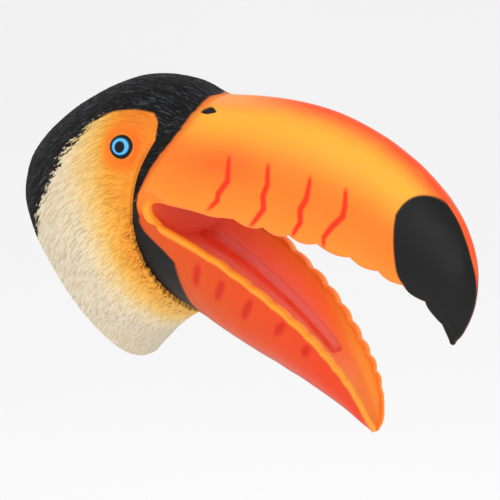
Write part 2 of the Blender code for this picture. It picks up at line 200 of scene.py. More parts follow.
def normals(grid, wrap=False):
    """Unit normals of a grid of points."""
    down = np.gradient(grid, axis=0)
    if wrap:
        across = (np.roll(grid, -1, axis=1) - np.roll(grid, 1, axis=1)) / 2
    else:
        across = np.gradient(grid, axis=1)
    out = np.cross(down, across)
    return out / np.maximum(np.linalg.norm(out, axis=2, keepdims=True), 1e-9)


def outward(grid, wrap=False):
    """Normals that point away from the mid-line of the grid."""
    out = normals(grid, wrap)
    middle = grid.reshape(-1, 3).mean(axis=0)
    return out * np.sign(np.sum(out * (grid - middle)))


def line_distance(x, z, line):
    """Distance from side-view points to a polyline, and how far along the line the nearest point is."""
    line = np.asarray(line, float)
    lengths = np.append(0, np.cumsum(np.linalg.norm(np.diff(line, axis=0), axis=1)))
    best, where = np.full(x.shape, 1e9), np.zeros(x.shape)
    for k in range(len(line) - 1):
        step = line[k + 1] - line[k]
        t = np.clip(((x - line[k, 0]) * step[0] + (z - line[k, 1]) * step[1]) / (step @ step), 0, 1)
        gap = np.hypot(x - line[k, 0] - step[0] * t, z - line[k, 1] - step[1] * t)
        nearer = gap < best
        best = np.where(nearer, gap, best)
        where = np.where(nearer, (lengths[k] + t * (lengths[k + 1] - lengths[k])) / lengths[-1], where)
    return best, where


def inside_outline(x, z, outline):
    """Signed distance to a closed outline in the side view, positive inside."""
    outline = smooth_path(tuple(outline) + (outline[0],), 90)
    inside = np.zeros(x.shape, bool)
    for (x0, z0), (x1, z1) in zip(outline, np.roll(outline, -1, axis=0)):
        if z0 == z1:
            continue
        crosses = (z0 > z) != (z1 > z)
        inside ^= crosses & (x < (x1 - x0) * (z - z0) / (z1 - z0) + x0)
    return line_distance(x, z, outline)[0] * np.where(inside, 1, -1)


# ---- meshes -----------------------------------------------------------------------------------

def quads(first, second, third, fourth):
    return np.stack([first, second, third, fourth], axis=-1).reshape(-1, 4)


def grid_faces(index, ring):
    right = np.roll(index, -1, axis=1) if ring else index[:, 1:]
    left = index if ring else index[:, :-1]
    return quads(left[:-1], right[:-1], right[1:], left[1:])


def build(name, points, faces, material, marks):
    """An object of these millimetre points and quads, with named marks on its points for its material."""
    mesh = bpy.data.meshes.new(name)
    mesh.vertices.add(len(points))
    mesh.vertices.foreach_set("co", (HINGE + points * MM).astype(np.float32).ravel())
    mesh.loops.add(faces.size)
    mesh.loops.foreach_set("vertex_index", faces.astype(np.int32).ravel())
    mesh.polygons.add(len(faces))
    mesh.polygons.foreach_set("loop_start", np.arange(0, faces.size, 4, dtype=np.int32))
    mesh.update(calc_edges=True)
    mesh.shade_smooth()
    mesh.set_sharp_from_angle(angle=SHARP_EDGE)
    for mark, values in marks.items():
        kind = "FLOAT" if values.ndim == 1 else "FLOAT_VECTOR"
        field = mesh.attributes.new(mark, kind, "POINT")
        channel = "value" if values.ndim == 1 else "vector"
        field.data.foreach_set(channel, values.astype(np.float32).ravel())
    mesh.materials.append(material)
    piece = bpy.data.objects.new(name, mesh)
    bpy.context.scene.collection.objects.link(piece)
    return piece


def stand_in(piece, node, body=None):
    """Puts a piece in a CAD node's place, riding on a body if one is given, and hides the node."""
    if body:
        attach(piece, body)
    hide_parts(node)


def shell(name, outer, inner, material, marks=None, ring=False):
    """A closed skin between two grids. Marks are given on the outer grid; the inner one has them at 0."""
    marks = dict(marks or {})
    rows, columns = outer.shape[:2]
    o = np.arange(rows * columns).reshape(rows, columns)
    i = np.arange(inner.shape[0] * columns).reshape(-1, columns) + o.size
    faces = [grid_faces(o, ring), grid_faces(i, ring)[:, ::-1]]
    onward = (lambda row: np.roll(row, -1)) if ring else (lambda row: row[1:])
    here = (lambda row: row) if ring else (lambda row: row[:-1])
    faces.append(quads(onward(o[0]), here(o[0]), here(i[0]), onward(i[0])))
    faces.append(quads(here(o[-1]), onward(o[-1]), onward(i[-1]), here(i[-1])))
    if not ring:
        faces.append(quads(o[:-1, 0], o[1:, 0], i[1:, 0], i[:-1, 0]))
        faces.append(quads(o[1:, -1], o[:-1, -1], i[:-1, -1], i[1:, -1]))
    faces = np.concatenate(faces)
    points = np.concatenate([outer.reshape(-1, 3), inner.reshape(-1, 3)])
    a, b, c, d = points[faces[:, 0]], points[faces[:, 1]], points[faces[:, 2]], points[faces[:, 3]]
    if np.einsum("ij,ij->i", a, np.cross(b, c) + np.cross(c, d)).sum() < 0:
        faces = faces[:, ::-1]
    marks["inside"] = np.zeros(outer.shape[:2])
    for mark, values in marks.items():
        extra = np.ones if mark == "inside" else np.zeros
        if values.ndim == 3:
            marks[mark] = np.concatenate([values.reshape(-1, 3), extra((i.size, 3))])
        else:
            marks[mark] = np.concatenate([values.ravel(), extra(i.size)])
    return build(name, points, faces, material, marks)


def round_rim(outer, inner, steps, bulge=1.0):
    """The outer grid with its two long edges carried round onto the inner grid's edges, as a rounded rim."""
    sides = []
    for edge in (0, -1):
        a, b = outer[:, edge], inner[:, edge]
        tangent = a - outer[:, 1 if edge == 0 else -2]
        tangent /= np.maximum(np.linalg.norm(tangent, axis=1, keepdims=True), 1e-9)
        middle, half = (a + b) / 2, (a - b) / 2
        radius = np.linalg.norm(half, axis=1, keepdims=True) * bulge
        strip = [middle + half * math.cos(t) + tangent * radius * math.sin(t)
                 for t in np.linspace(0, math.pi, steps + 1)[1:]]
        sides.append(np.stack(strip, axis=1))
    return np.concatenate([sides[0][:, ::-1], outer, sides[1]], axis=1)


def pad(values, steps):
    """Marks for the columns that round_rim adds, taken from the edges."""
    width = [(0, 0), (steps, steps)] + [(0, 0)] * (values.ndim - 2)
    return np.pad(values, width, mode="edge")


# ---- forms shared with the CAD model ----------------------------------------------------------

def beak_round(turn):
    across = np.sign(np.sin(turn)) * np.abs(np.sin(turn)) ** BEAK_WIDE
    return across, np.cos(turn).clip(0) ** BEAK_HIGH


def sections(edge, reach, share, y):
    """Points at these shares of the way from the mouth's edge to the ridge, y mm to the side."""
    return np.stack([edge[:, :1] + reach[:, :1] * share, y, edge[:, 1:2] + reach[:, 1:] * share], axis=2)


def beak_grid(edge, ridge, columns, wall=0.0, lip=0.0, pocket=1.0):
    """Sections from one mouth edge over the ridge to the other, set in by the wall."""
    across, up = beak_round(np.linspace(-np.pi / 2, np.pi / 2, columns))
    reach = ridge - edge[:, :2]
    height = np.linalg.norm(reach, axis=1)
    high = np.outer(np.maximum(1 - wall / height, 0.1) * pocket, up)
    half = np.maximum(edge[:, 2] - wall, 0.35 * edge[:, 2])[:, None]
    half = half - lip * np.exp(-(high * height[:, None] / 3) ** 2)
    return sections(edge, reach, high, half * across)


def lining_grid(edge, ridge, columns, side, middle, wall, clearance):
    """Sections of a lining across the mouth, side mm in from the lips at its edges, middle mm more midway."""
    reach = ridge - edge[:, :2]
    height = np.linalg.norm(reach, axis=1)
    wing = np.linspace(-1, 1, columns)
    depth = side + np.outer(middle, 1 - np.abs(wing) ** 2.4)
    share = depth / height[:, None]
    wall_share = np.clip(1 - (share / (1 - SKIN / height[:, None])) ** 2.3, 0.05, 1) ** 0.6
    half = (edge[:, 2:3] - wall) * wall_share - clearance
    return sections(edge, reach, share, half * wing)


def head_grid(along, turns, inset=0.0):
    """Rings of the head at these shares of its length, set in by the inset."""
    at = np.linspace(0, 1, 401)
    above, below, widths = (smooth_path(p, 401) for p in (NAPE_CROWN, THROAT, HEAD_HALF_WIDTH))
    above, below = (np.stack([np.interp(along, at, p[:, k]) for k in (0, 1)], axis=1) for p in (above, below))
    half = np.interp(along, widths[:, 0], widths[:, 1]) - inset
    middle, up = (above + below) / 2, (above - below) / 2
    height = np.linalg.norm(up, axis=1)
    forward = np.stack([up[:, 1], -up[:, 0]], axis=1) / height[:, None]
    a = np.sign(np.cos(turns)) * np.abs(np.cos(turns)) ** HEAD_SQUARE
    b = np.sign(np.sin(turns)) * np.abs(np.sin(turns)) ** HEAD_SQUARE
    side = (middle[:, None] + a[None, :, None] * ((1 - inset / height)[:, None] * up)[:, None]
            - (FACE_BOW * along ** 2)[:, None, None] * (1 - a ** 2)[None, :, None] * forward[:, None])
    return np.stack([side[..., 0], np.outer(half, b), side[..., 1]], axis=2)


def head_point(along, turn):
    """A point of the head's outer face and the direction out of it."""
    patch = head_grid(np.array([along, along + 0.01]), np.array([turn, turn + 0.02]))
    out = np.cross(patch[0, 1] - patch[0, 0], patch[1, 0] - patch[0, 0])
    out *= np.sign(out[1] * patch[0, 0, 1])
    return patch[0, 0], out / np.linalg.norm(out)


# ---- materials --------------------------------------------------------------------------------

def painted(red, green, blue):
    """The linear colour of a paint given as it looks on a screen, less the sheen that white light adds."""
    shares = np.array((red, green, blue)) / 255
    linear = np.where(shares <= 0.04045, shares / 12.92, ((shares + 0.055) / 1.055) ** 2.4)
    return tuple(float(value) for value in np.clip(linear - SHEEN, 0.003, 0.97))


BLACK = (38, 38, 39)


class Paint:
    """A Principled material and short ways to add nodes to it. Its colours are as seen, from 0 to 255."""

    def __init__(self, name, roughness, specular, subsurface=0.0):
        self.material = bpy.data.materials.new(name)
        self.material.use_nodes = True
        self.tree = self.material.node_tree
        self.shader = self.tree.nodes["Principled BSDF"]
        self.shader.inputs["Roughness"].default_value = roughness
        self.shader.inputs["Specular IOR Level"].default_value = specular
        if subsurface:
            self.shader.inputs["Subsurface Weight"].default_value = subsurface
            self.shader.inputs["Subsurface Radius"].default_value = (0.006, 0.002, 0.001)
            self.shader.inputs["Subsurface Scale"].default_value = 1.0

    def node(self, kind, **settings):
        made = self.tree.nodes.new("ShaderNode" + kind)
        for key, value in settings.items():
            setattr(made, key, value)
        return made

    def put(self, value, socket):
        if hasattr(value, "is_output"):
            self.tree.links.new(value, socket)
        else:
            socket.default_value = value

    def mark(self, name):
        return self.node("Attribute", attribute_name=name).outputs["Fac"]

    def flow(self, name):
        return self.node("Attribute", attribute_name=name).outputs["Vector"]

    def place(self):
        return self.node("TexCoord").outputs["Object"]

    def noise(self, vector, scale, detail=3.0, roughness=0.55, distortion=0.0):
        made = self.node("TexNoise")
        self.put(vector, made.inputs["Vector"])
        for key, number in (("Scale", scale), ("Detail", detail), ("Roughness", roughness),
                            ("Distortion", distortion)):
            made.inputs[key].default_value = number
        return made.outputs["Fac"]

    def math(self, operation, a, b):
        made = self.node("Math", operation=operation)
        self.put(a, made.inputs[0])
        self.put(b, made.inputs[1])
        return made.outputs[0]

    def spread(self, value, low, high, to_low=0.0, to_high=1.0):
        made = self.node("MapRange", interpolation_type="SMOOTHSTEP")
        self.put(value, made.inputs["Value"])
        for key, number in (("From Min", low), ("From Max", high), ("To Min", to_low), ("To Max", to_high)):
            made.inputs[key].default_value = number
        return made.outputs["Result"]

    def blend(self, share, a, b, mode="MIX"):
        made = self.node("Mix", data_type="RGBA", blend_type=mode)
        self.put(share, made.inputs["Factor"])
        for socket, colour in ((made.inputs[6], a), (made.inputs[7], b)):
            self.put((*painted(*colour), 1.0) if isinstance(colour, tuple) else colour, socket)
        return made.outputs[2]

    def coats(self, colour, *layers):
        """The colour with each of these paints over it in turn, where its mark is 1."""
        for name, paint in layers:
            colour = self.blend(self.mark(name), colour, paint)
        return colour

    def uneven(self, value, noise, amount):
        """The value with a noise added, as much up as down."""
        return self.math("ADD", value, self.math("MULTIPLY", self.math("SUBTRACT", noise, 0.5), amount))

    def ramp(self, value, stops, linear=False):
        made = self.node("ValToRGB")
        self.put(value, made.inputs["Fac"])
        made.color_ramp.interpolation = "B_SPLINE" if len(stops) > 4 else "LINEAR"
        elements = made.color_ramp.elements
        while len(elements) < len(stops):
            elements.new(0.5)
        for element, (at, colour) in zip(elements, stops):
            element.position = at
            element.color = (*(colour if linear else painted(*colour)), 1.0)
        return made.outputs["Color"]

    def bump(self, height, strength, distance, after=None):
        made = self.node("Bump")
        made.inputs["Strength"].default_value = strength
        made.inputs["Distance"].default_value = distance
        self.put(height, made.inputs["Height"])
        if after is not None:
            self.put(after, made.inputs["Normal"])
        return made.outputs["Normal"]

    def finish(self, colour, normal=None, roughness=None):
        self.put(colour, self.shader.inputs["Base Color"])
        if normal is not None:
            self.put(normal, self.shader.inputs["Normal"])
        if roughness is not None:
            self.put(roughness, self.shader.inputs["Roughness"])
        return self.material


def skin_grain(paint, strength=0.12):
    """The faint unevenness of a moulded vinyl surface."""
    fine = paint.noise(paint.place(), 1500.0, 2.0)
    broad = paint.noise(paint.place(), 160.0, 2.0)
    first = paint.bump(fine, strength, 0.0002)
    return paint.bump(broad, strength * 0.8, 0.0008, first)


def feather_paint():
    paint = Paint("feathered_vinyl", 0.60, 0.12)
    tone, relief = paint.mark("tone"), paint.mark("relief")
    strand = paint.noise(paint.flow("flow"), 1.0, 3.0, 0.6, 0.4)
    warm = paint.uneven(paint.mark("warm"), tone, 0.09)
    colour = paint.ramp(warm, ((0.0, (208, 198, 178)), (0.22, (224, 211, 184)),
                               (0.42, (232, 201, 138)), (0.60, (232, 182, 92)),
                               (0.80, (232, 153, 62)), (1.0, (228, 126, 54))))
    red = paint.blend(paint.mark("flush"), colour, (236, 98, 48))
    # Painted shade: brown in the low gaps between the feathers, strongest among the ruffled feathers by the
    # face edge.
    gap = paint.spread(relief, 0.08, 0.62, 0.85, 0.0)
    shade = paint.blend(paint.math("MULTIPLY", gap, paint.mark("ruffle_and_gap_shade")), red, (128, 74, 34))
    thin = paint.spread(strand, 0.38, 0.56, 0.42, 0.0)
    streaked = paint.blend(paint.math("MULTIPLY", thin, paint.mark("fur")), shade, (188, 150, 96), "MULTIPLY")
    lit = paint.math("ADD", paint.math("MULTIPLY", tone, 0.35), strand)
    black = paint.ramp(lit, ((0.45, (30, 30, 31)), (0.72, (42, 42, 43)), (0.97, (84, 85, 89))))
    feathers = paint.blend(paint.mark("black"), streaked, black)
    orange = paint.ramp(paint.mark("high"), ((0.0, (250, 130, 58)), (0.6, (248, 138, 56)),
                                             (0.85, (246, 170, 74)), (1.0, (246, 150, 84))))
    # Painted shade: the orange darkens toward the black base of the beak.
    orange = paint.blend(paint.mark("base_shade"), orange, (206, 100, 52))
    beak = paint.blend(paint.mark("orange"), feathers, orange)
    raw = paint.blend(paint.mark("inside"), beak, (205, 186, 156))
    normal = paint.bump(paint.math("MULTIPLY", strand, paint.mark("fur")), 0.7, 0.0005)
    return paint.finish(raw, normal, paint.spread(strand, 0.3, 0.7, 0.50, 0.68))


def beak_paint():
    paint = Paint("upper_beak_vinyl", 0.42, 0.22, subsurface=0.05)
    mottle = paint.noise(paint.place(), 38.0, 3.0)
    high = paint.uneven(paint.mark("high"), mottle, 0.05)
    colour = paint.ramp(high, ((0.0, (250, 140, 60)), (0.12, (248, 134, 56)),
                               (0.34, (246, 122, 53)), (0.50, (245, 122, 53)),
                               (0.62, (246, 136, 56)), (0.76, (247, 162, 61)),
                               (0.88, (248, 172, 64)), (0.945, (246, 150, 64)),
                               (0.985, (244, 104, 58)), (1.0, (238, 84, 52))))
    # The dark orange by the black base is painted shade.
    striped = paint.coats(colour, ("ruddy", (240, 102, 50)), ("base_shade", (206, 100, 52)),
                          ("pale", (240, 158, 84)), ("stripe", (238, 62, 42)))
    lipped = paint.blend(paint.math("MULTIPLY", paint.mark("edge"), 0.5), striped, (255, 128, 74))
    # Painted shade: the nostril slots are near-black, and the inner face is dark brown-orange so the rolled
    # rim under the lip shows a shade line.
    raw = paint.coats(lipped, ("base", BLACK), ("tip", (40, 40, 42)), ("nostril_shade", (20, 14, 12)),
                      ("inside", (196, 88, 46)))
    duller_tip = paint.math("MULTIPLY", paint.mark("tip"), 0.06)
    rough = paint.math("ADD", paint.spread(mottle, 0.3, 0.7, 0.36, 0.46), duller_tip)
    return paint.finish(raw, skin_grain(paint), rough)


def lower_paint():
    paint = Paint("lower_beak_vinyl", 0.42, 0.22, subsurface=0.05)
    mottle = paint.noise(paint.place(), 38.0, 3.0)
    along = paint.uneven(paint.mark("along"), mottle, 0.12)
    colour = paint.ramp(along, ((0.0, (208, 88, 48)), (0.3, (214, 82, 47)), (0.7, (219, 74, 48)),
                                (1.0, (221, 72, 49))))
    # The light band along the lip bead is its paler paint with a painted highlight on it.
    raw = paint.coats(colour, ("keel", (184, 70, 38)), ("stripe", (196, 42, 34)),
                      ("edge", (250, 152, 58)), ("wall", (238, 128, 58)), ("base", BLACK),
                      ("inside", (238, 128, 58)))
    return paint.finish(raw, skin_grain(paint), paint.spread(mottle, 0.3, 0.7, 0.36, 0.46))


def lining_paint():
    paint = Paint("mouth_lining_vinyl", 0.46, 0.16, subsurface=0.05)
    mottle = paint.noise(paint.place(), 70.0, 3.0)
    warm = paint.uneven(paint.mark("warm"), mottle, 0.07)
    colour = paint.ramp(warm, ((0.0, (222, 82, 62)), (0.25, (238, 98, 72)), (0.55, (240, 106, 60)),
                               (0.8, (236, 122, 58)), (1.0, (240, 146, 66))))
    return paint.finish(colour, skin_grain(paint), paint.spread(mottle, 0.3, 0.7, 0.36, 0.50))


def tongue_paint():
    paint = Paint("tongue_vinyl", 0.40, 0.22, subsurface=0.06)
    mottle = paint.noise(paint.place(), 140.0, 3.0)
    pink = paint.ramp(mottle, ((0.3, (218, 72, 54)), (0.7, (226, 84, 66))))
    colour = paint.blend(paint.mark("deep"), pink, (222, 76, 56))
    return paint.finish(colour, skin_grain(paint, 0.16), paint.spread(mottle, 0.3, 0.7, 0.30, 0.42))


def gape_paint():
    paint = Paint("gape_vinyl", 0.42, 0.22, subsurface=0.05)
    mottle = paint.noise(paint.place(), 80.0, 3.0)
    body = paint.ramp(mottle, ((0.3, (240, 122, 54)), (0.7, (246, 130, 56))))
    # The light band along the gape's lip bead is its paler paint with a painted highlight on it.
    black = paint.coats(body, ("low", (208, 88, 48)), ("edge", (252, 158, 62)),
                        ("lining", (240, 84, 46)), ("base", BLACK))
    return paint.finish(black, skin_grain(paint), paint.spread(mottle, 0.3, 0.7, 0.36, 0.46))


def eye_paint():
    paint = Paint("painted_eye", 0.42, 0.2)
    streak = paint.noise(paint.flow("iris"), 3.0, 2.0)
    radius = paint.uneven(paint.mark("radius"), streak, 0.03)
    blue = paint.ramp(streak, ((0.3, (70, 165, 228)), (0.7, (104, 196, 248))))
    edged = paint.blend(paint.spread(radius, 0.50, 0.60, 0.7, 0.0), blue, (36, 84, 140))
    pupil = paint.blend(paint.spread(radius, 0.49, 0.53, 1.0, 0.0), edged, (26, 22, 26))
    outer = paint.blend(paint.spread(paint.mark("rim"), 0.66, 0.74, 0.0, 0.5), pupil, (36, 92, 150))
    ring = paint.blend(paint.spread(paint.mark("rim"), 0.75, 0.79), outer, (26, 26, 28))
    return paint.finish(ring, paint.bump(streak, 0.1, 0.0001))


def black_paint():
    paint = Paint("black_vinyl", 0.5, 0.25)
    mottle = paint.noise(paint.place(), 60.0, 3.0)
    black = paint.ramp(mottle, ((0.3, (38, 38, 39)), (0.7, (46, 45, 45))))
    raw = paint.coats(black, ("orange", (206, 88, 48)), ("inside", (66, 62, 60)))
    return paint.finish(raw, skin_grain(paint, 0.2), paint.spread(mottle, 0.3, 0.7, 0.45, 0.58))


# ---- head -------------------------------------------------------------------------------------

def splat_feathers(outer, wrap, count, seed, style):
    """Overlapping feathers whose tips point to the first row: height, tone and blackness at each point.

    style(share, column, chance) gives a feather's length and width in mm and 1 if it is black.
    """
    rows, columns = outer.shape[:2]
    column_length = np.linalg.norm(np.diff(outer, axis=0), axis=2).sum(axis=0)
    steps = np.roll(outer, -1, axis=1) - outer
    row_length = np.linalg.norm(steps if wrap else steps[:, :-1], axis=2).sum(axis=1)
    height, tone, black = np.zeros((rows, columns)), np.full((rows, columns), 0.5), np.zeros((rows, columns))
    chance = np.random.default_rng(seed)
    picks = chance.choice(columns, count, p=column_length / column_length.sum())
    for column in picks:
        share, luck = chance.uniform(-0.01, 1.04), chance.uniform()
        lean, curl = chance.normal(0, 0.13), chance.normal(0, 0.05)
        length, width, dark = style(share, column, chance)
        long_rows = length / column_length[column] * rows
        root = share * rows
        first, last = max(int(root - long_rows), 0), min(int(root) + 1, rows)
        if last - first < 2:
            continue
        middle_row = min(max(int(root - long_rows / 2), 0), rows - 1)
        wide = width / row_length[middle_row] * columns
        reach = int(wide + (abs(lean) + abs(curl)) * long_rows) + 2
        r = np.arange(first, last)
        c = np.arange(column - reach, column + reach + 1)
        if not wrap:
            c = c[(c >= 0) & (c < columns)]
        t = ((root - r) / long_rows)[:, None]
        shift = (lean * t + curl * np.sin(t * 5)) * long_rows
        q = (c[None, :] - column - shift) / (wide / 2 * (1.05 - 0.8 * t ** 2.5))
        bump = np.sqrt(np.clip(1 - q ** 2, 0, None)) * (0.3 + 0.7 * t) * (t <= 1)
        cells = np.ix_(r, c % columns)
        higher = bump > height[cells]
        height[cells] = np.where(higher, bump, height[cells])
        tone[cells] = np.where(higher, luck, tone[cells])
        black[cells] = np.where(higher & (bump > 0.2), dark, black[cells])
    return height, tone, black


def turn_degrees(turn):
    return np.degrees((turn + np.pi) % (2 * np.pi) - np.pi)


def crown_turn(share):
    """How far from the top the black crown reaches at this share of the head, in degrees."""
    return np.interp(share, *np.transpose(CROWN_EDGE))


def feather_style(turns):
    def style(share, column, chance):
        turn = abs(turn_degrees(turns[column]))
        ragged = 2.2 * (1 - smoothstep((share - 0.45) / 0.2)) + 0.2
        dark = turn + chance.normal(0, ragged) < crown_turn(share)
        size = chance.uniform(0.75, 1.25)
        if dark:
            return 13.0 * size, 1.7 * size, 1.0
        if turn > 95 and share > 0.82:
            return 5.0 * size, 1.3 * size, 0.0
        return (6.0 + 6.0 * max(0.0, 0.75 - share)) * size, (1.25 + 0.7 * max(0.0, 0.8 - share)) * size, 0.0
    return style


def flow_marks(outer, turns, along, across):
    """Where each point lies along and across the flow of the feathers, to stretch a noise into strands."""
    step = np.linalg.norm(np.diff(outer, axis=0), axis=2)
    down = np.concatenate([np.zeros((1, outer.shape[1])), np.cumsum(step, axis=0)])
    middle = np.median(down, axis=1)[:, None] * np.ones_like(down)
    return np.stack([middle / along, np.broadcast_to(np.cos(turns) * 45 / across, down.shape),
                     np.broadcast_to(np.sin(turns) * 45 / across, down.shape)], axis=2)


def make_head():
    rows, columns = int(360 * DETAIL), int(820 * DETAIL)
    stations = np.linspace(0, 1, rows)
    turns = np.linspace(0, 2 * np.pi, columns, endpoint=False) + np.pi
    outer = head_grid(stations, turns)
    inner = head_grid(np.linspace(0, 1, 40), turns, SKIN)
    out = outward(outer, wrap=True)
    relief, tone, black = splat_feathers(outer, True, int(15000 * DETAIL), 7, feather_style(turns))
    degrees = np.abs(turn_degrees(turns))[None, :] * np.ones((rows, 1))
    share = stations[:, None] * np.ones((1, columns))
    crisp = smoothstep((crown_turn(stations)[:, None] - degrees) / 1.6 + 0.5)
    black = black + (crisp - black) * smoothstep((share - 0.50) / 0.2)
    ripple, around_eye, flush = eye_wrinkles(outer)
    # Ruffled feathers by the face edge get more relief, and painted shade in their gaps.
    ruffle_and_gap_shade = smoothstep((share - 0.74) / 0.22) * smoothstep((degrees - 84) / 22) * (1 - black)
    calm = smoothstep((share - 0.80) / 0.15) * (1 - smoothstep((degrees - 82) / 20)) * (1 - black)
    amount = np.where(black > 0.5, 0.85, 0.36 + 0.35 * ruffle_and_gap_shade) * (1 - 0.95 * around_eye) * (1 - 0.7 * calm)
    amount *= smoothstep(share / 0.02) * 0.9 + 0.1
    lift = (relief - 0.4) * amount + ripple + 0.3 * cloud((rows, columns), (10, 26), 3, wrap=True)
    lift += face_lip(share, degrees)
    outer = outer + out * lift[..., None]
    ragged = (cloud((rows, columns), (4, 150), 5, wrap=True) * 0.5 + relief * 0.7 - 0.5)
    outer[..., 0] += ragged * smoothstep((share - 0.965) / 0.03) * smoothstep((degrees - 95) / 20)
    warm = warmth(share, degrees) + 0.035 * cloud((rows, columns), (12, 26), 11, wrap=True)
    brow = (1 - smoothstep((degrees - 52) / 28)) * smoothstep((share - 0.6) / 0.18)
    warm = np.clip(warm + 0.16 * around_eye + 0.16 * brow - 0.06 * smoothstep((degrees - 75) / 20), 0, 1)
    marks = {"relief": relief, "tone": tone, "black": black, "warm": warm, "flush": flush,
             "flow": flow_marks(outer, turns, 6.0, 0.55), "ruffle_and_gap_shade": (0.05 + 0.75 * ruffle_and_gap_shade) * (1 - around_eye),
             "fur": (1 - 0.9 * around_eye) * (1 - 0.5 * calm), "orange": 0 * relief, "base_shade": 0 * relief,
             "high": 0 * relief}
    rolled = [outer[-1] + (inner[-1] - outer[-1]) * share_in for share_in in (0.4, 0.96)]
    outer = np.concatenate([outer, rolled])
    marks = {name: np.pad(values, [(0, 2)] + [(0, 0)] * (values.ndim - 1), mode="edge")
             for name, values in marks.items()}
    marks["black"][-2:] = 1
    material = feather_paint()
    skin = shell("feathered_head", outer, inner, material, marks, ring=True)
    stand_in(skin, "head_skin", HEAD)
    return material


def warmth(share, degrees):
    """From 0, cream at the neck, to 1, orange by the beak."""
    along = np.interp(share, (0.0, 0.2, 0.36, 0.5, 0.6, 0.7, 0.8, 0.9, 1.0),
                      (0.08, 0.16, 0.26, 0.42, 0.55, 0.70, 0.80, 0.86, 0.88))
    return along - 0.22 * smoothstep((degrees - 110) / 60)


def face_lip(share, degrees):
    """The feather edge stands proud of the black band on the cheeks and throat, and rolls down at its end."""
    side = smoothstep((degrees - 46) / 20)
    swell = np.exp(-((share - 0.955) / 0.035) ** 2) * 0.9
    roll = -1.6 * smoothstep((share - 0.975) / 0.025) ** 2
    return side * (swell + roll)


def eye_wrinkles(outer):
    """Rings of folds in the bare skin round each eye, the lid that holds it, and the flush of red there."""
    ripple, near, flush = (np.zeros(outer.shape[:2]) for _ in range(3))
    for side in (-1, 1):
        here, out = head_point(EYE_ALONG, side * EYE_ROUND)
        away = outer - here
        radius = np.linalg.norm(away - (away @ out)[..., None] * out, axis=2)
        radius = np.where(away @ out > -12, radius, 99)
        front = np.clip(0.55 + (outer[..., 0] - here[0]) / 18, 0.1, 1)
        wave = np.sin(radius * 2 * np.pi / 1.9 + 0.9 * np.sin(away[..., 2] * 0.45))
        folds = wave * 0.16 * front
        folds *= smoothstep((radius - 7.2) / 1.2) * (1 - smoothstep((radius - 13) / 5))
        lid = 0.75 * np.exp(-((radius - 7.4) / 0.9) ** 2)
        socket = -2.2 * (1 - smoothstep((radius - 5.6) / 1.0))
        ripple += folds + lid + socket
        near = np.maximum(near, 1 - smoothstep((radius - 11.5) / 6))
        ring = np.exp(-((radius - 9.5) / 3.0) ** 2) * 0.40 * (0.6 + 0.6 * front)
        crease = smoothstep((-wave - 0.2) / 0.8) * (1 - smoothstep((radius - 12) / 4)) * (radius > 8)
        flush = np.maximum(flush, ring + 0.35 * crease * front)
    return ripple, near, np.clip(flush, 0, 0.9)


def make_eyes():
    material = eye_paint()
    rings, sides = 28, 72
    for side, name in ((-1, "right"), (1, "left")):
        here, out = head_point(EYE_ALONG, side * EYE_ROUND)
        z = Vector(out)
        x = (Vector((1, 0, 0)) - z * z.x).normalized()
        y = z.cross(x)
        tilt = np.linspace(0, np.pi / 2 - 0.02, rings)
        around = np.linspace(0, 2 * np.pi, sides, endpoint=False)
        flat = np.cos(tilt)[:, None]
        domed = np.broadcast_to((EYE_DOME * np.sin(tilt))[:, None], (rings, sides))
        local = np.stack([1.27 * EYE_RADIUS * flat * np.cos(around),
                          1.07 * EYE_RADIUS * flat * np.sin(around), domed], axis=2)
        dome = here + local @ np.array([x, y, z])
        back = dome[:2].copy()
        for k, scale in ((0, 1.0), (1, 0.02)):
            back[k] = here + (local[0] * scale - (0, 0, EYE_SEAT)) @ np.array([x, y, z])
        off = np.hypot(local[..., 0] + 0.45, local[..., 1] - 0.35 * side) / EYE_RADIUS
        rim = np.hypot(local[..., 0] / 1.17 + 0.15, local[..., 1]) / EYE_RADIUS
        marks = {"radius": off, "rim": rim, "iris": np.stack([off * 2, local[..., 0], local[..., 1]], axis=2)}
        eye = shell(f"painted_eye_{name}", dome, back, material, marks, ring=True)
        stand_in(eye, f"eye_{name}", HEAD)


# ---- black skin at the beak's base --------------------------------------------------------------

def band_grid(turns, front, rows, wall, tuck):
    """Rows of skin from the face edge, tucked under it by that many mm, to this front line."""
    degrees = np.abs(turn_degrees(turns))
    step = 1.2 * smoothstep((degrees - 44) / 20) + 0.1
    back = head_grid(np.array([1.0]), turns, wall)[0]
    deeper = head_grid(np.array([1.0]), turns, wall + 1.0)[0]
    back = back + (deeper - back) * step[:, None]
    away = (back - front) / np.linalg.norm(back - front, axis=1)[:, None]
    back = back + away * tuck[:, None]
    return back + (front - back) * np.linspace(0, 1, rows)[:, None, None]


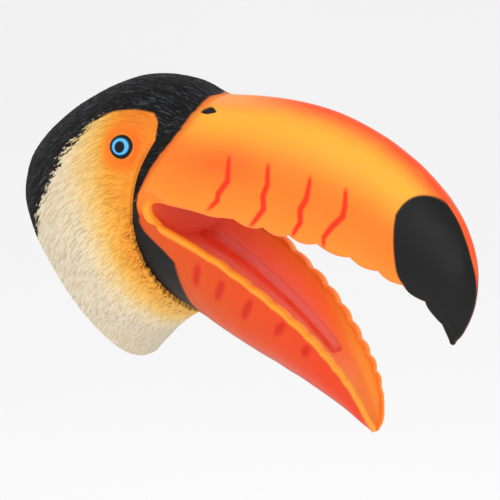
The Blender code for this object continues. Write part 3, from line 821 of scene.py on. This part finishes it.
def make_collar(upper, material):
    rows, columns = int(64 * DETAIL), int(560 * DETAIL)
    turns = np.linspace(-CHEEK_TURN, CHEEK_TURN, columns)
    degrees = np.abs(turn_degrees(turns))
    tuck = 0.3 + 2.0 * smoothstep((degrees - 44) / 20)
    outer = band_grid(turns, beak_grid(*upper, columns)[0], rows, 0.0, tuck)
    inner = band_grid(turns, beak_grid(*upper, columns, SKIN)[0], rows, SKIN, 0 * tuck)

    def style(share, column, chance):
        return 7.0 * chance.uniform(0.7, 1.2), 1.8, 1.0

    relief, tone, _ = splat_feathers(outer, False, int(1500 * DETAIL), 17, style)
    shares = np.linspace(0, 1, rows)[:, None]
    crown = (1 - smoothstep((degrees - 40) / 25)) * (1 - smoothstep((shares - 0.25) / 0.5))
    hollow = 0.6 * np.sin(np.pi * shares) * (1 - crown) * smoothstep(degrees / 40)
    lift = (relief - 0.4) * 0.5 * crown - hollow
    width = np.linalg.norm(outer[-1] - outer[0], axis=1)
    gone = (1 - shares) * width
    reach = np.interp(degrees, *np.transpose(CROWN_PAINT)) + 0.5 * cloud(outer.shape[:2], (1, 60), 23)
    orange = smoothstep((reach - gone) / 2.6 + 0.5) * smoothstep(reach / 1.5)
    high = beak_round(np.linspace(-np.pi / 2, np.pi / 2, columns))[1]
    still = np.ones(outer.shape[:2])
    # The orange here darkens toward the black, as painted shade by the beak's base.
    marks = {"relief": relief, "tone": 0.5 + (tone - 0.5) * crown, "black": still, "warm": 0 * still,
             "flush": 0 * still, "flow": flow_marks(outer, turns, 5.5, 0.95), "ruffle_and_gap_shade": 0 * still,
             "fur": crown, "orange": orange, "base_shade": 0.75 * (1 - smoothstep((reach - gone) / 9)),
             "high": still * high}
    outer = outer + outward(outer) * (lift * smoothstep((1 - shares) / 0.1))[..., None]
    collar = shell("black_collar", outer, inner, material, marks)
    stand_in(collar, "beak_collar", HEAD)


def make_throat(lower):
    """The soft black skin from the face edge round the throat to the lower beak and the mouth's corners."""
    rows, side, under = int(44 * DETAIL), int(50 * DETAIL), int(340 * DETAIL)
    meet = math.radians(101)
    turns = -np.concatenate([np.linspace(CHEEK_TURN, meet, side, endpoint=False),
                             np.linspace(meet, 2 * np.pi - meet, under),
                             np.linspace(2 * np.pi - meet, 2 * np.pi - CHEEK_TURN, side + 1)[1:]])
    degrees = np.abs(turn_degrees(turns))
    tuck = 2.0 + 3.0 * smoothstep((degrees - 95) / 25)
    grids = []
    for wall in (0.0, SKIN):
        rear = smooth_path(CORNER_REAR, side + 1)[:-1]
        under_gape = 1 - smoothstep((np.arange(side) / side - 0.36) / 0.26)
        deep = wall + (2.8 - 0.7 * wall) * under_gape
        right = np.stack([rear[:, 0] + 3.2 * under_gape, deep - rear[:, 2], rear[:, 1]], axis=1)
        left = (right * (1, -1, 1))[::-1]
        front = np.concatenate([right, beak_grid(*lower, under, wall)[0], left])
        grids.append(band_grid(turns, front, rows, wall, tuck))
    shares = np.linspace(0, 1, rows)[:, None]
    hidden = np.concatenate([under_gape, np.zeros(under), under_gape[::-1]])
    for grid in grids:
        grid[..., 1] -= np.sign(grid[..., 1]) * 1.0 * np.sin(np.pi * shares) * hidden
    outer, inner = grids
    hollow = 0.5 * np.sin(np.pi * shares) * smoothstep((degrees - 95) / 20)
    outer = outer - outward(outer) * hollow[..., None]
    web = shell("throat_skin", outer, inner, black_paint(), {"orange": throat_orange(outer)})
    stand_in(web, "throat_web")
    bend_at_throat(web)


def throat_orange(grid):
    """1 in front of the painted edge between the black throat and the orange lower beak."""
    ahead = grid[..., 0] - np.interp(grid[..., 2], *np.transpose(THROAT_EDGE))
    return smoothstep(ahead / 2.4 + 0.5)


def row(x, y, z):
    """A point of the record's frame from hinge millimetres."""
    return tuple(HINGE + np.array((x, y, z)) * MM)


def bend_at_throat(piece):
    """Bakes the piece's placement into its mesh."""
    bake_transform(piece)


def bend_at_corner(piece):
    """Bakes the piece's placement into its mesh."""
    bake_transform(piece)


# ---- beak -------------------------------------------------------------------------------------

def teeth_between(x, notches):
    """Rounded teeth from 0 at each notch to 1 at the crown between two, which lies nearer the beak's tip."""
    at = np.clip(np.searchsorted(notches, x) - 1, 0, len(notches) - 2)
    low, high = np.array(notches)[at], np.array(notches)[at + 1]
    share = np.clip((x - low) / (high - low), 0, 1)
    return np.sin(np.pi * share ** 1.45) ** 0.62


def beak_heights(edge, ridge, columns):
    """Each section's direction from lip to ridge, and how high its points lie, as shares and in mm."""
    reach = ridge - edge[:, :2]
    height = np.linalg.norm(reach, axis=1)[:, None]
    up = beak_round(np.linspace(-np.pi / 2, np.pi / 2, columns))[1]
    high = np.broadcast_to(up, (len(edge), columns))
    return reach / height, high, high * height


def shift_along(grids, toward, drop):
    """Moves points of each section from lip to ridge by this many mm."""
    for grid in grids:
        grid[..., 0] += toward[:, :1] * drop
        grid[..., 2] += toward[:, 1:] * drop


def roll_rims(outer, inner, marks, steps, bulge):
    marks = {name: pad(values, steps) for name, values in marks.items()}
    return round_rim(outer, inner, steps, bulge), pad(inner, steps), marks


def make_upper_beak():
    rows, columns = int(380 * DETAIL), int(300 * DETAIL)
    edge, ridge = smooth_path(UPPER_EDGE, rows), smooth_path(CULMEN, rows)
    outer = beak_grid(edge, ridge, columns)
    shares = np.linspace(0, 1, rows)
    pocket = 1 - 0.97 * smoothstep((shares - 0.68) / 0.14)
    inner = beak_grid(edge, ridge, columns, SKIN, pocket=pocket)
    toward, high, tall = beak_heights(edge, ridge, columns)
    grow = smoothstep((edge[:, 0] - 40) / 16)
    teeth = teeth_between(edge[:, 0], UPPER_NOTCHES)
    drop = (UPPER_NOTCH - UPPER_TOOTH * teeth)[:, None] * np.exp(-(tall / 5.0) ** 2) * grow[:, None]
    shift_along((outer, inner), toward, drop)
    out = outward(outer)
    dents = -0.5 * (1 - teeth)[:, None] * np.exp(-((tall - 3.0) / 3.0) ** 2) * grow[:, None]
    crest = 0.45 * np.exp(-(outer[..., 1] / 3.2) ** 4) * smoothstep(shares / 0.1)[:, None]
    lift = dents + crest * (high > 0.5) + 0.18 * cloud((rows, columns), (16, 10), 31)
    # The nostril slots are marked for near-black painted shade of their depth.
    nostril_shade, rim = nostrils(outer)
    lift += rim
    tip = tip_patch(outer, edge)
    outer = outer + out * (lift + 0.12 * tip)[..., None]
    stripe = stripes(outer, UPPER_STRIPES, 1.5, 0.8)
    ahead = np.linalg.norm(outer - outer[:1], axis=2)
    degrees = np.abs(np.linspace(-90, 90, columns))
    reach = np.interp(degrees, *np.transpose(CROWN_PAINT))
    base = smoothstep(0.5 - (reach + ahead) / 2.6)
    ruddy = 0.7 * np.exp(-((shares[:, None] - 0.17) / 0.10) ** 2 - ((high - 0.46) / 0.14) ** 2)
    pale = 0.85 * (1 - smoothstep((shares[:, None] - 0.04) / 0.2)) * smoothstep((high - 0.9) / 0.06)
    # Painted shade darkens the orange toward the black base.
    marks = {"high": high, "stripe": stripe, "tip": tip, "nostril_shade": nostril_shade, "base": base, "ruddy": ruddy,
             "base_shade": 0.75 * (1 - smoothstep((ahead + reach) / 9)), "pale": pale,
             "edge": np.exp(-(tall / 1.6) ** 2)}
    outer, inner, marks = roll_rims(outer, inner, marks, 6, 0.6)
    beak = shell("toucan_upper_beak", outer, inner, beak_paint(), marks)
    stand_in(beak, "upper_beak", HEAD)
    return edge[:1], ridge[:1]


def stripes(grid, lines, width, soft):
    """Painted strokes on both sides, thin at their tops."""
    found = np.zeros(grid.shape[:2])
    for line in lines:
        gap, along = line_distance(grid[..., 0], grid[..., 2], line)
        half = width * (0.45 + 0.75 * np.sin(np.pi * np.clip(along * 0.8 + 0.12, 0, 1)))
        stroke = 1 - smoothstep((gap - half + soft) / (2 * soft))
        ends = smoothstep(along / 0.12 + 0.35) * (1 - 0.6 * smoothstep((along - 0.9) / 0.1))
        found = np.maximum(found, stroke * ends)
    return found


def tip_patch(grid, edge):
    """The black end of the beak, short of the ridge until the hook."""
    inside = inside_outline(grid[..., 0], grid[..., 2], TIP_PATCH)
    ridge_strip = 2.6 * (1 - smoothstep((-grid[..., 2] - 8) / 26))
    return smoothstep(inside / 1.4 + 0.5) * smoothstep((np.abs(grid[..., 1]) - ridge_strip) / 0.9 + 0.5)


def nostrils(grid):
    """An almond slot high on each side of the beak's base, with a raised rim at its back end; the slot is
    marked for near-black painted shade.
    """
    nostril_shade, rim = np.zeros(grid.shape[:2]), np.zeros(grid.shape[:2])
    turn = math.acos(NOSTRIL_UP ** (1 / BEAK_HIGH))
    row_at = NOSTRIL_ALONG * (len(grid) - 1)
    for side in (-1, 1):
        column = (0.5 + side * turn / np.pi) * (grid.shape[1] - 1)
        i, j = int(round(row_at)), int(round(column))
        here = grid[i, j]
        along = grid[i + 4, j] - grid[i, j]
        along = along / np.linalg.norm(along)
        across = grid[i, j + 4] - grid[i, j]
        across = across - along * (across @ along)
        across = across / np.linalg.norm(across)
        a, b = (grid - here) @ along, (grid - here) @ across
        b = b + 0.9 * np.cos(np.clip(a / NOSTRIL_LENGTH, -0.5, 0.5) * np.pi) * side
        width = NOSTRIL_WIDTH / 2 * np.clip(1.1 - 0.55 * np.abs(a) / (NOSTRIL_LENGTH / 2), 0.2, 1)
        r = np.sqrt((a / (NOSTRIL_LENGTH / 2)) ** 2 + (b / width) ** 2)
        r = np.where(np.linalg.norm(grid - here, axis=2) < 14, r, 9)
        pit = 1 - smoothstep((r - 0.6) / 0.5)
        nostril_shade = np.maximum(nostril_shade, 1 - smoothstep((r - 0.88) / 0.25))
        back = smoothstep((-a - 2) / 4)
        rim += -NOSTRIL_DEPTH * pit + np.exp(-((r - 1.4) / 0.3) ** 2) * (0.1 + 0.5 * back)
    return nostril_shade, rim


def make_palate():
    rows, columns = int(160 * DETAIL), int(100 * DETAIL)
    roof, over = (smooth_path(line, rows, PALATE_FROM, PALATE_TO) for line in (UPPER_EDGE, CULMEN))
    arch = PALATE_ARCH * (1 - 0.4 * np.linspace(0, 1, rows))
    lower = lining_grid(roof, over, columns, PALATE_LIFT, arch, SKIN, -0.6)
    upper = lining_grid(roof, over, columns, PALATE_LIFT + LINING, arch, SKIN, -0.6)
    out = normals(lower)
    out *= -np.sign(out[..., 2].mean())
    wing = np.linspace(-1, 1, columns)
    folds = 0.35 * np.exp(-(wing / 0.035) ** 2) + 0.15 * cloud((rows, columns), (14, 8), 41)
    lower = lower + out * folds[..., None]
    warm = 0.1 + 0.5 * np.linspace(0, 1, rows)[:, None] ** 1.3 + 0.35 * smoothstep((np.abs(wing) - 0.6) / 0.4)
    palate = shell("mouth_palate", lower, upper, lining_paint(), {"warm": warm})
    stand_in(palate, "palate", HEAD)
    return lower[:7:6], upper[:7:6]


def make_lower_beak():
    rows, columns = int(300 * DETAIL), int(240 * DETAIL)
    edge, ridge = smooth_path(LOWER_LIP, rows), smooth_path(KEEL, rows)
    shares = np.linspace(0, 1, rows)
    outer = beak_grid(edge, ridge, columns)
    pocket = 1 - 0.5 * smoothstep((shares - 0.8) / 0.2)
    lip = LIP * (1 - smoothstep((shares - 0.6) / 0.3))[:, None]
    inner = beak_grid(edge, ridge, columns, SKIN, lip, pocket)
    toward, high, tall = beak_heights(edge, ridge, columns)
    teeth = teeth_between(edge[:, 0], LOWER_NOTCHES)
    grow = smoothstep((edge[:, 0] - 28) / 14) * (1 - smoothstep((edge[:, 0] - 121) / 5))
    drop = (LOWER_NOTCH - LOWER_TOOTH * teeth)[:, None] * grow[:, None] * np.exp(-(tall / 4.0) ** 2)
    flare = 0.9 * (teeth - 0.5)[:, None] * grow[:, None] * np.exp(-(tall / 3.0) ** 2)
    shift_along((outer, inner), toward, drop)
    for grid in (outer, inner):
        grid[..., 1] += np.sign(grid[..., 1]) * flare
    out = outward(outer)
    roll = 0.55 * np.exp(-((tall - 1.2) / 1.8) ** 2) - 0.30 * np.exp(-((tall - 5.5) / 2.4) ** 2)
    outer = outer + out * (roll + 0.18 * cloud((rows, columns), (12, 10), 51))[..., None]
    stripe = stripes(outer, LOWER_STRIPES, 2.0, 1.6) * 0.75
    lip_width = 2.2 + 1.3 * (1 - smoothstep(shares / 0.25))[:, None]
    # The lip bead's light band carries its paler paint and a painted highlight.
    marks = {"along": np.broadcast_to(shares[:, None], outer.shape[:2]), "stripe": stripe,
             "base": 1 - throat_orange(outer), "edge": np.exp(-(tall / lip_width) ** 4),
             "keel": smoothstep((high - 0.72) / 0.28), "wall": np.zeros(outer.shape[:2])}
    steps = 10
    outer, inner, marks = roll_rims(outer, inner, marks, steps, 0.5)
    over = smoothstep((np.arange(steps) / steps - 0.2) / 0.4)
    marks["wall"][:, :steps] = over[::-1]
    marks["wall"][:, -steps:] = over
    beak = shell("toucan_lower_beak", outer, inner, lower_paint(), marks)
    stand_in(beak, "lower_beak", JAW)
    return edge[:1], ridge[:1]


def floor_depth(shares):
    """How far the mouth's floor lies below the lips at these shares of the lower beak."""
    return FLOOR_DEPTH * (1 - 0.5 * np.minimum(shares / 0.78, 1) ** 3)


def make_floor():
    rows, columns = int(240 * DETAIL), int(140 * DETAIL)
    lip_line, keel_line = (smooth_path(line, rows, 0.0, FLOOR_TO) for line in (LOWER_LIP, KEEL))
    shares = np.linspace(0, FLOOR_TO, rows)
    reach = np.linalg.norm(keel_line - lip_line[:, :2], axis=1)
    depth = np.minimum(floor_depth(shares), reach * 0.3) * (1 - 0.5 * smoothstep((shares - 0.8) / 0.2))
    wall = (SKIN + LIP * (1 - smoothstep((shares - 0.6) / 0.3)))[:, None] * (1 - 0.5 * shares[:, None] ** 6)
    side = np.minimum(0.35, reach * 0.05)[:, None]
    top = lining_grid(lip_line, keel_line, columns, side, depth, wall, -1.0)
    below = side + np.minimum(LINING, reach * 0.15)[:, None]
    under = lining_grid(lip_line, keel_line, columns, below, depth, wall, -1.0)
    wing = np.linspace(-1, 1, columns)
    out = normals(top)
    out *= np.sign(out[..., 2].mean())
    top = top + out * (0.2 * cloud((rows, columns), (14, 8), 61))[..., None]
    sides = smoothstep((np.abs(wing) - 0.25) / 0.55)
    warm = 0.18 + 0.36 * sides + 0.30 * smoothstep((np.abs(wing) - 0.75) / 0.25)
    warm = warm * smoothstep((shares[:, None] + 0.15) / 0.3)
    warm = warm + 0.62 * smoothstep((shares[:, None] - 0.4) / 0.45)
    floor = shell("mouth_trough", top, under, lining_paint(), {"warm": np.clip(warm, 0, 1)})
    stand_in(floor, "mouth_floor", JAW)
    return top[:7:6], under[:7:6]


def make_tongue():
    rows, columns = int(200 * DETAIL), int(80 * DETAIL)
    edge, ridge = (smooth_path(line, rows, 0.0, TONGUE_TO) for line in (LOWER_LIP, KEEL))
    reach = ridge - edge[:, :2]
    height = np.linalg.norm(reach, axis=1)[:, None]
    shares = np.linspace(0, 1, rows)
    floor = 0.5 + floor_depth(shares * TONGUE_TO)
    blunt = np.sqrt(np.clip(1 - np.clip((shares - 0.955) / 0.045, 0, 1) ** 2, 0, 1))
    half = (TONGUE_HALF_WIDTH - 2.8 * shares) * (0.6 + 0.4 * blunt)
    tall = TONGUE_TALL * (1 - 0.3 * shares) * blunt * smoothstep(shares / 0.14 + 0.1)
    wing = np.linspace(-1, 1, columns)
    profile = (1 - np.abs(wing) ** 8) ** 0.55
    wave = 0.08 * cloud((rows, columns), (18, 5), 71)
    grids = []
    for depth in (floor[:, None] - np.outer(tall, profile) - wave * profile, floor[:, None] + 1.2 + 0 * wing):
        flare = 1 + 0.25 * (1 - profile)
        grids.append(sections(edge, reach, depth / height, np.outer(half, wing) * flare))
    deep = np.broadcast_to(1 - smoothstep(shares / 0.4)[:, None], (rows, columns))
    piece = shell("mouth_tongue", *grids, tongue_paint(), {"deep": deep})
    stand_in(piece, "tongue", JAW)


# ---- soft corners -------------------------------------------------------------------------------

def make_corner(side, name, material):
    """The gape: from under the beak's base and the black skin to the mouth's rounded edge."""
    columns, rows = int(200 * DETAIL), int(48 * DETAIL)
    outline = smooth_path(CORNER_TOP + CORNER_REAR[1:], columns)
    free = smooth_path(CORNER_EDGE, columns)
    away = free - outline[:, :2]
    length = np.linalg.norm(away, axis=1)[:, None]
    around = np.linspace(0, 1, columns)
    outline[:, :2] -= away / length * np.minimum(0.9, 0.5 * length)
    shares = np.linspace(0, 1, rows)[:, None]
    lip = LIP * smoothstep((around - 0.35) / 0.4)
    bead = 0.7 * np.exp(-((shares - 0.88) / 0.14) ** 2) * smoothstep((around - 0.3) / 0.3)
    crease = -0.35 * np.exp(-((shares - 0.62) / 0.10) ** 2) * smoothstep((around - 0.4) / 0.2)
    edge_y = np.interp(around, (0, 0.5, 1), (38.1, 38.5, 38.2))
    tuck = 0.7 - 0.6 * smoothstep((around - 0.70) / 0.12)
    grids = []
    for wall, rise in ((0.0, bead + crease), (SKIN, -lip[None, :] * smoothstep(shares))):
        x = outline[:, 0] + (free[:, 0] - outline[:, 0]) * shares
        z = outline[:, 1] + (free[:, 1] - outline[:, 1]) * shares
        y = outline[:, 2] + (edge_y - outline[:, 2]) * shares - tuck * (1 - smoothstep(shares / 0.14))
        grids.append(np.stack([x, side * (y - wall + rise), z], axis=2).transpose(1, 0, 2))
    outer, inner = grids
    steps = 10
    outer = round_rim(outer, inner, steps, 0.5)[:, steps:]
    inner = np.pad(inner, [(0, 0), (0, steps), (0, 0)], mode="edge")
    at = np.arange(outer.shape[1])[None, :]
    to_edge = (1 - at / rows) * length
    # The lip bead's light band carries its paler paint and a painted highlight.
    edge = smoothstep((3.5 - to_edge) / 0.9) * smoothstep((around[:, None] - 0.34) / 0.3)
    lining = smoothstep((at - rows - 3) / (steps - 4)) * np.ones((columns, 1))
    low = smoothstep(-outer[..., 2] / 8)
    marks = {"edge": edge * (1 - lining), "lining": lining, "low": low, "base": 1 - throat_orange(outer)}
    web = shell(f"gape_{name}", outer, inner, material, marks)
    stand_in(web, f"corner_web_{name}")
    bend_at_corner(web)


def make_mouth_back(roof, floor):
    """The lining's fold behind the mouth's corners, in line with the palate and the floor at its ends."""
    rows, columns = int(80 * DETAIL), int(140 * DETAIL)
    t = np.linspace(0, 1, rows)[:, None, None]
    limit = CORNER_TOP[0][2] - SKIN + 0.3
    grids = []
    for layer, back in ((0, 0.0), (1, LINING)):
        ends = []
        for lining, reach in ((roof[layer], 12.0), (floor[layer], 15.0)):
            start, ahead = resample(lining[0], columns), resample(lining[1], columns)
            on = (start - ahead) * (1, 0, 1)
            on /= np.linalg.norm(on, axis=1)[:, None]
            stretch = 1.05 * limit / np.abs(start[:, 1]).max()
            start[:, 1] = np.clip(start[:, 1] * stretch, -limit, limit)
            ends.append((start, start + on * (reach + back) * (1, 0, 1)))
        (top, above), (foot, below) = ends
        grids.append(top * (1 - t) ** 3 + above * 3 * t * (1 - t) ** 2
                     + below * 3 * t ** 2 * (1 - t) + foot * t ** 3)
    shares = np.linspace(0, 1, rows)[:, None]
    wing = np.linspace(-1, 1, columns)
    warm = 0.24 + 0.45 * smoothstep((np.abs(wing) - 0.7) / 0.3) + 0 * shares
    piece = shell("mouth_fold", *grids, lining_paint(), {"warm": warm})
    stand_in(piece, "mouth_back")
    bend_at_corner(piece)


def resample(line, count):
    at = np.linspace(0, len(line) - 1, count)
    return np.stack([np.interp(at, np.arange(len(line)), line[:, k]) for k in range(3)], axis=1)


# ---- stage --------------------------------------------------------------------------------------

def make_stage():
    size, below = 3.0, 0.35
    mesh = bpy.data.meshes.new("floor")
    z = cad_box[0][2] - below
    corners = [(-size, -size, z), (size, -size, z), (size, size, z), (-size, size, z)]
    mesh.from_pydata(corners, [], [(0, 1, 2, 3)])
    floor = bpy.data.objects.new("floor", mesh)
    bpy.context.scene.collection.objects.link(floor)
    paint = Paint("pale_floor", 0.9, 0.1)
    mottle = paint.noise(paint.place(), 2.0, 2.0)
    pale = paint.ramp(mottle, ((0.3, (0.96, 0.96, 0.96)), (0.7, (0.98, 0.98, 0.98))), linear=True)
    mesh.materials.append(paint.finish(pale))


def make_light(name, energy, size, place, target):
    data = bpy.data.lights.new(name, "AREA")
    data.energy, data.size = energy, size
    light = bpy.data.objects.new(name, data)
    light.location = place
    light.rotation_euler = (Vector(target) - Vector(place)).to_track_quat("-Z", "Y").to_euler()
    bpy.context.scene.collection.objects.link(light)


def make_lights():
    low, high = (np.array(corner) for corner in cad_box)
    centre = tuple((low + high) / 2)
    make_light("key", 3.5, 0.9, (0.0, -1.05, 0.95), centre)
    make_light("fill", 5.5, 0.8, (0.85, -1.15, 0.28), centre)
    make_light("rim", 3, 1.0, (0.5, 1.0, 0.8), centre)
    world = bpy.data.worlds.new("studio")
    world.use_nodes = True
    background = world.node_tree.nodes["Background"]
    background.inputs["Color"].default_value = (1.0, 1.0, 1.0, 1.0)
    background.inputs["Strength"].default_value = 0.90
    bpy.context.scene.world = world


def make_camera():
    """The view from the bird's right, a little above, through a long lens."""
    azimuth, elevation, lens, sensor = math.radians(35), math.radians(13), 1500.0, 36.0
    view_width, aim_right, aim_down = 0.280, 0.0353, 0.0322
    back = Vector((math.sin(azimuth) * math.cos(elevation), -math.cos(azimuth) * math.cos(elevation),
                   math.sin(elevation)))
    right = Vector((math.cos(azimuth), math.sin(azimuth), 0.0))
    up = back.cross(right)
    aim = Vector(HINGE) + right * aim_right - up * aim_down
    data = bpy.data.cameras.new("camera")
    data.lens, data.sensor_width = lens, sensor
    data.clip_end = 60
    camera = bpy.data.objects.new("camera", data)
    camera.location = aim + back * (view_width * lens / sensor)
    camera.rotation_euler = (-back).to_track_quat("-Z", "Y").to_euler()
    bpy.context.scene.collection.objects.link(camera)
    bpy.context.scene.camera = camera


def main():
    make_camera()
    make_lights()
    make_stage()
    feathers = make_head()
    make_eyes()
    upper = make_upper_beak()
    lower = make_lower_beak()
    make_collar(upper, feathers)
    make_throat(lower)
    roof = make_palate()
    floor = make_floor()
    make_tongue()
    material = gape_paint()
    make_corner(-1, "right", material)
    make_corner(1, "left", material)
    make_mouth_back(roof, floor)
    bpy.context.scene.view_settings.view_transform = "Standard"


main()
